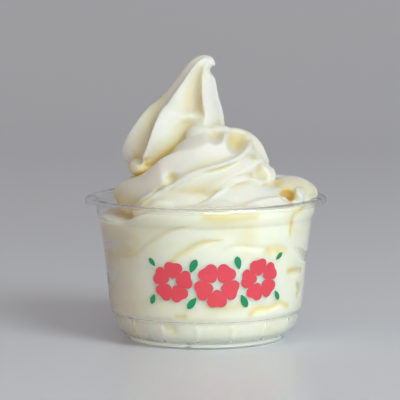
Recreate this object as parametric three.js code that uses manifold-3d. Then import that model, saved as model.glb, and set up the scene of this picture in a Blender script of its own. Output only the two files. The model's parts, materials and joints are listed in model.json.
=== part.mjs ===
// Frozen yogurt cup: a clear thermoformed dessert cup, and the soft-serve swirl that fills it and stands above its rim.
// Units are millimetres, +Z up, origin at the centre of the cup's base. The swirl's peak leans towards +X.
import * as THREE from "three";
import { ConvexGeometry } from "three/addons/geometries/ConvexGeometry.js";
import { mergeVertices } from "three/addons/utils/BufferGeometryUtils.js";
import Module from "manifold-3d";

const wasm = await Module();
wasm.setup();
const { Manifold } = wasm;

// ---- driving sizes -------------------------------------------------------------------------------------------------
const RIM_R = 47.5; // outer edge of the rolled lip
const RIM_TOP = 56.4; // highest line of the lip
const WALL = 0.6; // sheet thickness of the cup
const BASE_R = 30.7; // standing ring
const STEP_Z = 11.6; // shoulder between the fluted foot and the smooth wall
const STACK_Z = 48.1; // stacking step below the rim
const MOUTH_R = 43.0; // outside of the straight band under the lip
const ROUND = 60; // facets round the cup
const RIBS = 16; // narrow upright ribs round the foot
const RIB_AT = -5.625; // azimuth of one rib, degrees
const GAP = 0.3; // clearance between yogurt and cup
const LOBES = 6; // points of the star nozzle
const VALLEY = 0.78; // valley radius as a share of crest radius
const FALL = 0.76; // share of each lobe taken by its gentle side
const SQUASH = 0.88; // each turn settles under its own weight
const STEP = 3.3; // distance between sections along the rope

// A closed three.js geometry as a solid that manifold-3d can join and cut.
function solidOf(geometry, tolerance = 1e-4) {
  const bare = new THREE.BufferGeometry().setAttribute("position", geometry.getAttribute("position"));
  if (geometry.index) bare.setIndex(geometry.index);
  const merged = mergeVertices(bare, tolerance);
  const corners = merged.index.array, triVerts = [];
  for (let i = 0; i < corners.length; i += 3) {
    const [a, b, c] = corners.slice(i, i + 3);
    if (a !== b && b !== c && c !== a) triVerts.push(a, b, c); // a lathe's rows shrink to points on its axis
  }
  return new Manifold(new wasm.Mesh({ numProp: 3, vertProperties: merged.attributes.position.array, triVerts: new Uint32Array(triVerts) }));
}
const hull = (points) => solidOf(new ConvexGeometry(points.map((p) => new THREE.Vector3(...p))));
// A profile of [radius, height] rows that closes on the axis, turned about +Z.
function revolve(profile) {
  const path = profile.map(([r, z]) => new THREE.Vector2(r, z));
  if (profile.at(-1)[0] > 0) path.push(path[0]);
  const geometry = new THREE.LatheGeometry(path, ROUND);
  geometry.rotateX(Math.PI / 2);
  return solidOf(geometry);
}

// Joins points that lie closer than a few micrometres, drops loose slivers and keeps the one body.
function tidy(solid) {
  const biggest = (m) => m.decompose().sort((a, b) => b.volume() - a.volume())[0];
  let kept = biggest(solid).asOriginal().simplify(0.035);
  for (let pass = 0; pass < 2; pass++) {
    const m = kept.getMesh();
    const geometry = new THREE.BufferGeometry();
    geometry.setAttribute("position", new THREE.BufferAttribute(Float32Array.from(m.vertProperties), 3));
    geometry.setIndex([...m.triVerts]);
    kept = biggest(solidOf(geometry, 2e-3)).asOriginal().simplify(0.035);
  }
  return kept;
}

// ---- cup -------------------------------------------------------------------------------------------------------------
// Outside of the sheet from the standing ring up to the lip: [radius, height].
const OUTSIDE = [
  [BASE_R, 0.35], [BASE_R + 0.15, 1.8], [31.6, 2.2], [33.7, 3.6], [34.8, 5.2], [35.5, 6.8], [36.0, 8.4], [36.3, STEP_Z - 1.5],
  [36.65, STEP_Z - 0.7], [37.35, STEP_Z], [37.9, STEP_Z + 1.5], [38.3, STEP_Z + 5], [39.5, STEP_Z + 19],
  [41.7, STACK_Z - 1.6], [41.8, STACK_Z], [42.35, STACK_Z + 0.8], [MOUTH_R, STACK_Z + 3.1], [MOUTH_R + 0.15, RIM_TOP - 1.2],
];
const insideOf = (r, z) => [r - WALL, z < STEP_Z && z > 3 ? z + 0.25 : z];
const INSIDE = OUTSIDE.filter((_, i) => [3, 5, 7, 9, 11, 12, 13, 14, 15, 16, 17].includes(i)).map(([r, z]) => insideOf(r, z));
const LIP = [
  [MOUTH_R + 0.7, RIM_TOP - 0.7], [RIM_R - 1.6, RIM_TOP - 0.7], [RIM_R - 0.75, RIM_TOP - 1.2], [RIM_R - 0.7, RIM_TOP - 2.4],
  [RIM_R - 0.15, RIM_TOP - 2.5], [RIM_R, RIM_TOP - 1.6], [RIM_R - 0.35, RIM_TOP - 0.6], [RIM_R - 1.5, RIM_TOP], [MOUTH_R + 0.6, RIM_TOP],
  [MOUTH_R - 0.2, RIM_TOP - 0.25],
];
const FLOOR = [[31.1, 2.75], [30.2, 2.0], [30.1, 0.6], [28.9, 0.6], [27.9, 2.3], [0, 2.3]];

const shell = revolve([
  [0, 1.7], [27.5, 1.7], [28.5, 0], [BASE_R - 0.3, 0], ...OUTSIDE, ...LIP, ...INSIDE.slice().reverse(), ...FLOOR,
]);

// One rib follows the foot's curve and stands 0.35 mm proud of it.
function rib(azimuth) {
  const a = (azimuth * Math.PI) / 180;
  const slices = [2, 4, 6, 7].map((i) => OUTSIDE[i]).map(([r, z], i, all) => {
    const half = i === 0 || i === all.length - 1 ? 0.5 : 0.8;
    const proud = i === 0 || i === all.length - 1 ? 0.05 : 0.35;
    return [[r - 0.3, -half], [r + proud, -half * 0.45], [r + proud, half * 0.45], [r - 0.3, half]].map(([x, y]) => [
      x * Math.cos(a) - y * Math.sin(a), x * Math.sin(a) + y * Math.cos(a), z,
    ]);
  });
  const parts = [];
  for (let i = 0; i + 1 < slices.length; i++) parts.push(hull([...slices[i], ...slices[i + 1]]));
  return Manifold.union(parts);
}
const ribs = Array.from({ length: RIBS }, (_, k) => rib(RIB_AT + (360 / RIBS) * k));
const cup = Manifold.union([shell, ...ribs]).asOriginal().simplify(0.01);

// ---- swirl -----------------------------------------------------------------------------------------------------------
// The rope of yogurt leaves a star nozzle that never turns, while the cup is moved round under it.
// Coil stations: azimuth in degrees, coil radius, height, rope radius, centre x, centre y, azimuth of the nozzle's first lobe.
const COIL = [
  [-570, 26.0, 42.0, 12.0, 2.0, 0.0, 10], [-510, 26.5, 44.0, 12.2, 2.5, 0.0, 12], [-478, 27.5, 45.8, 12.4, 3.0, 0.0, 15],
  [-448, 28.0, 49.0, 12.6, 3.4, 0.0, 18], [-422, 28.6, 53.0, 12.2, 3.8, 0.0, 18], [-396, 30.0, 53.0, 10.8, 4.0, 0.0, 15],
  [-362, 31.0, 52.6, 12.0, 4.4, 0.0, 12], [-315, 30.0, 53.0, 12.0, 4.0, 0.0, 8], [-270, 28.0, 54.2, 12.0, 2.9, 0.0, 2],
  [-180, 25.5, 56.6, 12.2, 1.2, 0.3, -8], [-135, 21.6, 62.4, 13.6, 0.6, 1.0, 12], [-90, 17.4, 68.6, 15.0, 0.5, 0.2, 28],
  [-45, 16.4, 69.6, 13.2, 0.0, -1.0, 38], [0, 13.4, 69.4, 12.4, -0.6, -0.6, 33], [45, 12.7, 72.0, 12.8, -1.4, 0.4, 20],
];
// The last dollop, drawn up into a peak: x, y, z, rope radius, azimuth of the first lobe.
const PEAK = [
  [-3.5, 13.2, 73.5, 13.3, 12], [-14.4, 10.0, 73.2, 16.0, 8], [-16.2, 1.6, 74.0, 17.0, 7], [-12.6, -3.0, 79.0, 16.8, 4],
  [-8.6, -2.2, 85.0, 15.7, 0], [-6.0, -1.3, 90.0, 13.7, -4], [-3.9, -0.9, 98.0, 9.7, -11], [-2.1, -0.2, 105.0, 6.3, -10],
  [-0.2, 0.2, 108.8, 3.9, -6], [2.0, 0.2, 109.9, 2.7, -2], [3.7, 0.1, 109.6, 1.5, -2],
];

// Cubic through the rows of a table whose first column is the parameter.
function along(table, t) {
  const last = table.length - 1;
  let i = 0;
  while (i < last - 1 && table[i + 1][0] <= t) i++;
  const slope = (j, c) => {
    const a = table[Math.max(j - 1, 0)], b = table[Math.min(j + 1, last)];
    return (b[c] - a[c]) / (b[0] - a[0]);
  };
  const [p, q] = [table[i], table[i + 1]];
  const h = q[0] - p[0], u = Math.min(Math.max((t - p[0]) / h, 0), 1);
  return p.slice(1).map((_, k) => {
    const c = k + 1;
    return (2 * u ** 3 - 3 * u ** 2 + 1) * p[c] + (u ** 3 - 2 * u ** 2 + u) * h * slope(i, c) +
      (3 * u ** 2 - 2 * u ** 3) * q[c] + (u ** 3 - u ** 2) * h * slope(i + 1, c);
  });
}
const knots = [];
for (let deg = COIL[0][0]; deg <= COIL.at(-1)[0]; deg += 15) {
  const [radius, z, rope, cx, cy, lobe] = along(COIL, deg);
  const a = (deg * Math.PI) / 180;
  knots.push([cx + radius * Math.cos(a), cy + radius * Math.sin(a), z, rope, lobe]);
}
knots.push(...PEAK);
let run = 0;
const rope = knots.map((k, i) => {
  if (i) run += Math.hypot(k[0] - knots[i - 1][0], k[1] - knots[i - 1][1], k[2] - knots[i - 1][2]);
  return [run, ...k];
});

// Nozzle outline: sharp crest, gentle fall, steep rise to the next crest. Angles in degrees from the crest.
const TOOTH = [[0, 1], [10, 0.98], [22, 0.915], [34, 0.835], [60 * FALL, VALLEY]];
function section(s) {
  const [x, y, z, r, lobe] = along(rope, s);
  const before = along(rope, Math.max(s - 6, 0)), after = along(rope, Math.min(s + 6, run));
  const t = new THREE.Vector3(after[0] - before[0], after[1] - before[1], after[2] - before[2]).normalize();
  const turn = new THREE.Quaternion().setFromUnitVectors(new THREE.Vector3(0, 0, 1), t);
  const ring = [];
  for (let k = 0; k < LOBES; k++)
    for (const [deg, share] of TOOTH) {
      const a = ((lobe + k * (360 / LOBES) + deg) * Math.PI) / 180;
      const p = new THREE.Vector3(Math.cos(a), Math.sin(a), 0).multiplyScalar(r * share).applyQuaternion(turn);
      ring.push([x + p.x, y + p.y, z + p.z * SQUASH]);
    }
  return { centre: new THREE.Vector3(x, y, z), heading: t, ring };
}
const count = Math.round(run / STEP);
const sections = Array.from({ length: count + 1 }, (_, i) => section((run * i) / count));
const slices = [];
for (let i = 0; i < count; i++)
  for (let k = 0; k < LOBES; k++) {
    const n = TOOTH.length, total = LOBES * n;
    // one lobe: from its foot in the valley before the crest to its foot in the valley after it, and its root 1 mm past
    // the centre line, so that neighbouring pieces overlap inside the rope
    const pick = (s, way) => {
      const root = s.centre.clone().addScaledVector(new THREE.Vector3(...s.ring[k * n]).sub(s.centre).normalize(), -1);
      root.addScaledVector(s.heading, 0.6 * way);
      return [root.toArray(), ...Array.from({ length: n + 1 }, (_, j) => s.ring[(k * n - 1 + j + total) % total])];
    };
    slices.push(hull([...pick(sections[i], -1), ...pick(sections[i + 1], 1)]));
  }
const tip = solidOf(new THREE.SphereGeometry(1.55, 12, 8).translate(3.9, 0.1, 109.5));

// Below the rim the turns have run together and fill the cup to its stacking step.
const fillWall = [...INSIDE].filter(([, z]) => z < STACK_Z + 0.1);
const fill = revolve([
  [0, 2.3 + GAP], [27.9, 2.3 + GAP], [30.9, 2.75 + GAP + 0.1], ...fillWall, [33.5, 50.2], [26, 52], [22, 58], [15, 66], [10, 72], [0, 74],
]);
// Room that the cup leaves: its inside less the clearance, and everything above the lip.
const room = revolve([
  [0, 2.3 + GAP], [27.9, 2.3 + GAP], [30.9, 2.75 + GAP + 0.1], ...INSIDE.map(([r, z]) => [r - GAP, z]),
  [MOUTH_R - 0.6, RIM_TOP + GAP + 0.05], [60, RIM_TOP + GAP + 0.4], [60, 130], [0, 130],
]);
const swirl = Manifold.union([...slices, tip, fill]).intersect(room);

const yogurt = tidy(swirl);

// ---- meshes ----------------------------------------------------------------------------------------------------------
function meshOf(solid, name, look) {
  const m = solid.getMesh();
  const position = new Float32Array((m.vertProperties.length / m.numProp) * 3);
  for (let i = 0; i < position.length / 3; i++)
    for (let c = 0; c < 3; c++) position[3 * i + c] = m.vertProperties[m.numProp * i + c];
  const geometry = new THREE.BufferGeometry();
  geometry.setAttribute("position", new THREE.BufferAttribute(position, 3));
  geometry.setIndex([...m.triVerts]);
  const mesh = new THREE.Mesh(geometry, new THREE.MeshStandardMaterial(look));
  mesh.name = name;
  return mesh;
}
const part = new THREE.Group();
part.name = "frozen_yogurt_cup";
part.add(
  meshOf(cup, "cup", { color: 0xe6eded, roughness: 0.08, metalness: 0, transparent: true, opacity: 0.3 }),
  meshOf(yogurt, "frozen_yogurt", { color: 0xf1ecd9, roughness: 0.4, metalness: 0 }),
);
console.log("cup", cup.numTri(), "yogurt", yogurt.numTri(), "volumes ml", (cup.volume() / 1000).toFixed(2), (yogurt.volume() / 1000).toFixed(1));
export default part;
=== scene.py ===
import json
import math

import bpy
import numpy as np
from mathutils import Matrix, Vector
from mathutils.bvhtree import BVHTree

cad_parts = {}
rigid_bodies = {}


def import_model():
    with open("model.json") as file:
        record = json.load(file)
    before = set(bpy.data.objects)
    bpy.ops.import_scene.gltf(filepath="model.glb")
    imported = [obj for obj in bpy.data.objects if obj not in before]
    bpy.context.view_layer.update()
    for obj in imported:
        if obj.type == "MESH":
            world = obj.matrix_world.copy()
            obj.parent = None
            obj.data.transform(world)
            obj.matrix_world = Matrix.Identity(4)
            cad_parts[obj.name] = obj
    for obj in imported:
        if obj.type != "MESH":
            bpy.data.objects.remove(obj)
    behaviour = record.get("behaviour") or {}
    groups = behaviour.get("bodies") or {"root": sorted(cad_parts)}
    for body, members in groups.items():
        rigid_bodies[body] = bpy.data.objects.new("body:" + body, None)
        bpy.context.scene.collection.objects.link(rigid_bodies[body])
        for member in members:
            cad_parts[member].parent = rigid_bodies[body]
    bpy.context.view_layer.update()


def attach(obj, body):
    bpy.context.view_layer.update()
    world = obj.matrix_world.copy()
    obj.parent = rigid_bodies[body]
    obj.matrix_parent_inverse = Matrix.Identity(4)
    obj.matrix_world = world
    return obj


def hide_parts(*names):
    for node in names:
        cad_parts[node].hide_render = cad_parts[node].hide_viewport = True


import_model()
scene = bpy.context.scene


# ---- camera --------------------------------------------------------------------------------------
# A long lens about a metre away, a little above the lip, that looks slightly down on the cup.
CAMERA_DISTANCE = 1.0
CAMERA_ELEVATION = math.radians(6.69)
CAMERA_ROLL = math.radians(0.233)
PIVOT_HEIGHT = 0.05
AIM = Vector((-0.0022, 0.0, 0.05447))
SENSOR_WIDTH = 36.0
FOCAL_LENGTH_IN_FRAMES = 6.3575
camera_data = bpy.data.cameras.new("camera")
camera = bpy.data.objects.new("camera", camera_data)
scene.collection.objects.link(camera)
scene.camera = camera
camera_data.sensor_width = SENSOR_WIDTH
camera_data.lens = SENSOR_WIDTH * FOCAL_LENGTH_IN_FRAMES
camera_data.clip_start = 0.05
camera_at = Vector((0, -math.cos(CAMERA_ELEVATION), math.sin(CAMERA_ELEVATION))) * CAMERA_DISTANCE
camera_at.z += PIVOT_HEIGHT
camera.location = camera_at
camera.rotation_euler = (AIM - camera_at).to_track_quat("-Z", "Y").to_euler()
camera.rotation_euler.rotate_axis("Z", -CAMERA_ROLL)
scene.view_settings.view_transform = "Standard"


# ---- studio --------------------------------------------------------------------------------------
# A pale sweep of smooth card that the cup stands on. A large soft key lamp stands to the right of the
# front, a bright card low in front, and a weak warm lamp at the left, with even pale light all round.
def deselect_all():
    for each in bpy.context.selected_objects:
        each.select_set(False)


class Nodes:
    """Adds nodes to one material: nodes("Type", settings, Socket_Name=value or link). A socket that
    shares its name with others is given by its number, as _0."""

    def __init__(self, tree):
        self.tree = tree

    def __call__(self, kind, settings=None, **sockets):
        node = self.tree.nodes.new(kind)
        for name, value in (settings or {}).items():
            if name == "stops":
                ramp = node.color_ramp
                while len(ramp.elements) < len(value):
                    ramp.elements.new(0.5)
                for element, (at, colour) in zip(ramp.elements, value):
                    element.position = at
                    element.color = colour
            else:
                setattr(node, name, value)
        for name, value in sockets.items():
            key = int(name[1:]) if name[1:].isdigit() else name.replace("_", " ")
            socket = node.inputs[key]
            if isinstance(value, Socket):
                self.tree.links.new(value.out, socket)
            else:
                socket.default_value = value
        return node

    def out(self, node, name=0):
        return Socket(self, node.outputs[name])

    def noise(self, place, **sockets):
        return self.out(self("ShaderNodeTexNoise", Vector=place, **sockets), "Fac")


class Socket:
    """A number in a node tree that takes +, - and * as Python does."""

    def __init__(self, nodes, out):
        self.nodes = nodes
        self.out = out

    def math(self, operation, a, b, clamp=False):
        settings = {"operation": operation, "use_clamp": clamp}
        return self.nodes.out(self.nodes("ShaderNodeMath", settings, _0=a, _1=b))

    def __add__(self, other):
        return self.math("ADD", self, other)

    __radd__ = __add__

    def __sub__(self, other):
        return self.math("SUBTRACT", self, other)

    def __rsub__(self, other):
        return self.math("SUBTRACT", other, self)

    def __mul__(self, other):
        return self.math("MULTIPLY", self, other)

    __rmul__ = __mul__

    def clamped(self):
        return self.math("ADD", self, 0.0, clamp=True)


def new_material(name):
    material = bpy.data.materials.new(name)
    material.use_nodes = True
    material.node_tree.nodes.clear()
    return material, Nodes(material.node_tree)


def surface(nodes, shader):
    """Ends a material on this shader node."""
    nodes("ShaderNodeOutputMaterial", Surface=nodes.out(shader))


FLOOR_COLOUR = (0.84, 0.88, 1.0, 1.0)
SWEEP_WIDTH = 6.0
SWEEP_FRONT = 2.5
SWEEP_BACK = 1.6
SWEEP_HEIGHT = 2.2
SWEEP_BEND = 0.8
deselect_all()
bpy.ops.mesh.primitive_plane_add(size=1.0, location=(0, 0, 0))
sweep = bpy.context.active_object
sweep.name = "sweep"
sweep.scale = (SWEEP_WIDTH, SWEEP_BACK + SWEEP_FRONT, 1)
sweep.location = (0, (SWEEP_BACK - SWEEP_FRONT) / 2, 0)
bpy.ops.object.transform_apply(location=True, rotation=True, scale=True)
bpy.ops.object.mode_set(mode="EDIT")
bpy.ops.mesh.select_mode(type="EDGE")
bpy.ops.mesh.select_all(action="DESELECT")
bpy.ops.object.mode_set(mode="OBJECT")


def select_back_edge():
    """Selects the edge where the floor meets the back."""
    for edge in sweep.data.edges:
        ends = [sweep.data.vertices[v].co for v in edge.vertices]
        edge.select = all(abs(end.y - SWEEP_BACK) < 0.01 and end.z < 0.01 for end in ends)


select_back_edge()
bpy.ops.object.mode_set(mode="EDIT")
bpy.ops.mesh.extrude_region_move(TRANSFORM_OT_translate={"value": (0, 0, SWEEP_HEIGHT)})
bpy.ops.object.mode_set(mode="OBJECT")
select_back_edge()
bpy.ops.object.mode_set(mode="EDIT")
bpy.ops.mesh.bevel(offset=SWEEP_BEND, segments=16, affect="EDGES")
bpy.ops.object.mode_set(mode="OBJECT")
bpy.ops.object.shade_smooth()
card, nodes = new_material("pale card")
surface(nodes, nodes("ShaderNodeBsdfPrincipled", Base_Color=FLOOR_COLOUR, Roughness=0.32))
sweep.data.materials.append(card)


LAMPS_FACE = Vector((0, 0, 0.06))


def soft_lamp(name, azimuth, elevation, distance, size, watts, colour):
    """An area lamp that faces the swirl. Azimuth 0 is +X, -90 is the camera's side."""
    data = bpy.data.lights.new(name, "AREA")
    data.shape = "DISK"
    data.size = size
    data.energy = watts
    data.color = colour
    lamp = bpy.data.objects.new(name, data)
    lamp.visible_camera = False
    scene.collection.objects.link(lamp)
    a, e = math.radians(azimuth), math.radians(elevation)
    out = Vector((math.cos(a) * math.cos(e), math.sin(a) * math.cos(e), math.sin(e)))
    lamp.location = LAMPS_FACE + out * distance
    lamp.rotation_euler = (-out).to_track_quat("-Z", "Y").to_euler()


soft_lamp("key", -52, 33, 1.2, 0.55, 6.7, (0.94, 1.0, 0.94))
soft_lamp("fill", -165, 8, 1.4, 0.8, 1.4, (1.0, 0.55, 0.35))
soft_lamp("front card", -80, 6, 1.2, 0.5, 2.6, (0.9, 1.0, 0.92))
world = bpy.data.worlds.new("studio")
scene.world = world
world.use_nodes = True
light_all_round = world.node_tree.nodes["Background"].inputs
light_all_round["Color"].default_value = (0.95, 0.86, 0.75, 1)
light_all_round["Strength"].default_value = 0.31


# ---- cup -----------------------------------------------------------------------------------------
# A dessert cup thermoformed from one sheet of clear PET: a foot with sixteen narrow ribs that stands
# on a ring round its raised floor, a plain tapered wall, a stacking step and a lip that is rolled
# outwards and down. It is drawn as the outer side of one sheet and then given its wall.
MM = 0.001
WALL = 0.6
# radius and height of the outer side, from the middle of the floor to the end of the lip
SHEET = [
    (12.0, 1.7), (22.0, 1.7), (26.6, 1.7), (27.45, 1.62), (27.9, 1.15), (28.2, 0.5), (28.5, 0.14),
    (28.95, 0.0), (29.9, 0.0), (30.4, 0.08), (30.66, 0.3), (30.76, 0.9), (30.85, 1.6), (31.05, 2.0),
    (31.6, 2.3), (32.7, 2.9), (33.7, 3.7), (34.35, 4.5), (34.85, 5.4), (35.45, 6.9), (35.95, 8.4),
    (36.25, 9.8), (36.4, 10.5), (36.62, 10.85), (36.95, 11.1), (37.3, 11.45), (37.6, 12.1), (37.85, 13.1),
    (38.3, 16.6), (38.88, 23.0), (39.5, 30.6), (40.5, 38.0), (41.5, 45.3), (41.66, 46.8), (41.72, 47.6),
    (41.9, 48.2), (42.25, 48.6), (42.5, 49.1), (42.72, 50.0), (42.95, 51.4), (43.05, 53.0), (43.1, 54.6),
    (43.25, 55.3), (43.65, 55.66), (44.3, 55.8), (45.2, 55.82), (45.9, 55.76), (46.4, 55.5), (46.72, 55.1),
    (46.84, 54.6), (46.8, 54.1),
]
STANDING_RING_ROW = 7  # where the outer wall begins in that table
AROUND = 384
RIBS = 16
RIB_FIRST = -95.625  # azimuth of the rib nearest the front
RIB_FROM, RIB_TO = 2.7, 10.2
RIB_RELIEF = 0.4
RIB_EDGE = 0.5
RIB_HALF_WIDTH = 3  # in half steps round the cup


def off_rib(azimuth):
    """How many degrees an azimuth is from the nearest rib."""
    pitch = 360.0 / RIBS
    return (azimuth - RIB_FIRST + pitch / 2) % pitch - pitch / 2


deselect_all()
half_step = 180.0 / AROUND
bpy.ops.mesh.primitive_circle_add(
    vertices=AROUND, radius=SHEET[0][0] * MM, location=(0, 0, SHEET[0][1] * MM), fill_type="TRIFAN",
    rotation=(0, 0, math.radians(RIB_FIRST + half_step)),
)
cup = bpy.context.active_object
cup.name = "clear_cup"
bpy.ops.object.transform_apply(location=True, rotation=True, scale=True)
bpy.ops.object.mode_set(mode="EDIT")
bpy.ops.mesh.select_mode(type="EDGE")
bpy.ops.mesh.select_all(action="DESELECT")
bpy.ops.mesh.select_non_manifold(extend=False)
for (r0, z0), (r1, z1) in zip(SHEET, SHEET[1:]):
    bpy.ops.mesh.extrude_region_move(TRANSFORM_OT_translate={"value": (0, 0, (z1 - z0) * MM)})
    bpy.ops.transform.resize(value=(r1 / r0, r1 / r0, 1), center_override=(0, 0, 0))
bpy.ops.mesh.select_all(action="SELECT")
bpy.ops.mesh.normals_make_consistent(inside=False)
bpy.ops.mesh.select_mode(type="FACE")
bpy.ops.mesh.select_all(action="DESELECT")
bpy.ops.object.mode_set(mode="OBJECT")
on_the_wall = cup.data.polygons[len(cup.data.polygons) // 2]
if on_the_wall.normal.dot(on_the_wall.center) < 0:
    cup.data.flip_normals()
for face in cup.data.polygons:
    x, y, z = face.center / MM
    off = off_rib(math.degrees(math.atan2(y, x)))
    face.select = RIB_FROM < z < RIB_TO and abs(off) < RIB_HALF_WIDTH * half_step
bpy.ops.object.mode_set(mode="EDIT")
bpy.ops.mesh.inset(thickness=RIB_EDGE * MM, depth=RIB_RELIEF * MM)
bpy.ops.mesh.select_more()
bpy.ops.mesh.vertices_smooth(factor=0.5, repeat=2)
bpy.ops.object.mode_set(mode="OBJECT")
wall = cup.modifiers.new("wall", "SOLIDIFY")
wall.thickness = WALL * MM
wall.offset = -1.0
wall.use_even_offset = True
bpy.ops.object.modifier_apply(modifier="wall")
bpy.ops.object.shade_smooth_by_angle(angle=math.radians(50))

clear, nodes = new_material("clear PET")
place = nodes.out(nodes("ShaderNodeTexCoord"), "Object")
drawn = nodes("ShaderNodeMapping", Vector=place)
drawn.inputs["Scale"].default_value = (1.0, 1.0, 0.35)
ripple = nodes.noise(nodes.out(drawn), Scale=90.0, Detail=2.0)
haze = nodes.noise(place, Scale=260.0, Detail=4.0)
bump = nodes("ShaderNodeBump", Strength=0.35, Distance=0.0004, Height=ripple)
glass = nodes(
    "ShaderNodeBsdfPrincipled", Base_Color=(0.975, 0.98, 0.97, 1), Roughness=0.02 + haze * haze * 0.10,
    IOR=1.57, Transmission_Weight=1.0, Normal=nodes.out(bump),
)
lamp_ray = nodes("ShaderNodeBsdfTransparent")
lamp_ray.inputs["Color"].default_value = (0.88, 0.885, 0.865, 1)
is_lamp_ray = nodes.out(nodes("ShaderNodeLightPath"), "Is Shadow Ray")
surface(nodes, nodes("ShaderNodeMixShader", _0=is_lamp_ray, _1=nodes.out(glass), _2=nodes.out(lamp_ray)))
cup.data.materials.clear()
cup.data.materials.append(clear)
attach(cup, "root")
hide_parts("cup")


# ---- print ---------------------------------------------------------------------------------------
# A garland of blossoms and leaves screen-printed on the front of the wall in two inks, coral and
# green. Each shape is drawn flat and then wrapped round the wall as a film of ink.
PRINT_AZIMUTH = -83.3
PRINT_HEIGHT = 26.8
INK = 0.05
INK_CLEARANCE = 0.03
CORAL = (0.83, 0.068, 0.105, 1)
GREEN = (0.0, 0.30, 0.115, 1)


def wall_radius(z):
    radii, heights = zip(*SHEET[STANDING_RING_ROW:])
    return float(np.interp(z, heights, radii))


def wrap_on_wall(piece):
    """Bends a flat drawing, u along x and v along y, round the wall."""
    for vertex in piece.data.vertices:
        u, v, lift = vertex.co / MM
        z = PRINT_HEIGHT + v
        a = math.radians(PRINT_AZIMUTH) + u / wall_radius(PRINT_HEIGHT)
        r = wall_radius(z) + INK_CLEARANCE + lift
        vertex.co = Vector((r * math.cos(a), r * math.sin(a), z)) * MM


def ink(name, colour):
    """A glossy ink that is a little thinner, and so paler, in places."""
    material, nodes = new_material(name)
    place = nodes.out(nodes("ShaderNodeTexCoord"), "Object")
    screen = nodes.noise(place, Scale=1500.0, Detail=2.0)
    pool = nodes.noise(place, Scale=160.0, Detail=2.0)
    paler = tuple(min(1.0, c * 1.18 + 0.012) for c in colour[:3]) + (1,)
    thin = (screen * 0.5 + pool * 0.6).clamped()
    tone = nodes("ShaderNodeMix", {"data_type": "RGBA"}, _0=thin, _6=colour, _7=paler)
    bump = nodes("ShaderNodeBump", Strength=0.2, Distance=0.00003, Height=screen)
    surface(nodes, nodes(
        "ShaderNodeBsdfPrincipled", Base_Color=nodes.out(tone, 2), Roughness=0.3 + pool * 0.1,
        Normal=nodes.out(bump),
    ))
    return material


coral_ink = ink("coral ink", CORAL)
green_ink = ink("green ink", GREEN)


def printed(name, outline, centre, material):
    """A film of ink inside an outline, filled by smaller and smaller copies of it round its centre."""
    deselect_all()
    bpy.ops.mesh.primitive_circle_add(vertices=len(outline), radius=0.01, fill_type="NOTHING")
    film = bpy.context.active_object
    film.name = name
    for vertex, (u, v) in zip(film.data.vertices, outline):
        vertex.co = Vector((u, v, INK)) * MM
    middle = Vector((centre[0], centre[1], INK)) * MM
    bpy.ops.object.mode_set(mode="EDIT")
    bpy.ops.mesh.select_mode(type="VERT")
    bpy.ops.mesh.select_all(action="SELECT")
    for share in (0.8, 0.75, 0.66, 0.5):
        bpy.ops.mesh.extrude_region_move(TRANSFORM_OT_translate={"value": (0, 0, 0)})
        bpy.ops.transform.resize(value=(share, share, 1), center_override=middle)
    bpy.ops.mesh.merge(type="CENTER")
    bpy.ops.mesh.select_all(action="SELECT")
    bpy.ops.mesh.normals_make_consistent(inside=False)
    bpy.ops.object.mode_set(mode="OBJECT")
    if film.data.polygons[0].normal.z < 0:
        film.data.flip_normals()
    bpy.ops.object.mode_set(mode="EDIT")
    bpy.ops.mesh.select_all(action="DESELECT")
    bpy.ops.mesh.select_mode(type="EDGE")
    bpy.ops.mesh.select_non_manifold(extend=False)
    bpy.ops.mesh.extrude_region_move(TRANSFORM_OT_translate={"value": (0, 0, -INK * MM)})
    bpy.ops.object.mode_set(mode="OBJECT")
    wrap_on_wall(film)
    film.data.materials.append(material)
    return film


def along_a_line(at, turn, far, across=0.0):
    """The point this far along, and to the left of, a line that leaves a point at an angle."""
    c, s = math.cos(math.radians(turn)), math.sin(math.radians(turn))
    return at[0] + c * far - s * across, at[1] + s * far + c * across


PETAL_POINTS = 48
LEAF_POINTS = 32


def petal(at, turn, length, width, name):
    """A rounded petal whose narrow end is at a point, with a shallow notch in its broad end."""
    points = []
    for k in range(PETAL_POINTS):
        t = 2 * math.pi * k / PETAL_POINTS
        notch = 0.55 * math.exp(-(((t - math.pi) / 0.30) ** 2))
        far = length * (0.52 - 0.48 * math.cos(t)) - notch
        across = width / 2 * math.sin(t) * (0.74 - 0.30 * math.cos(t))
        points.append(along_a_line(at, turn, far, across))
    return printed(name, points, along_a_line(at, turn, length * 0.6), coral_ink)


def leaf(at, turn, length, width, name):
    """A leaf that is pointed at both ends and broadest a little past its middle."""
    points = []
    for k in range(LEAF_POINTS):
        t = 2 * math.pi * k / LEAF_POINTS
        far = length * (0.5 - 0.5 * math.cos(t))
        across = width / 2 * math.sin(t) * (1.0 - 0.25 * math.cos(t)) * abs(math.sin(t)) ** 0.35
        points.append(along_a_line(at, turn, far, across))
    return printed(name, points, along_a_line(at, turn, length * 0.5), green_ink)


# For each blossom: its middle, across and up from the middle of the print, its size and its turn.
BLOSSOMS = [(-17.6, 0.4, 8.1, 12), (-0.3, -0.6, 8.9, 54), (17.2, 0.9, 8.3, 30)]
PETALS_EACH = 5
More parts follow.
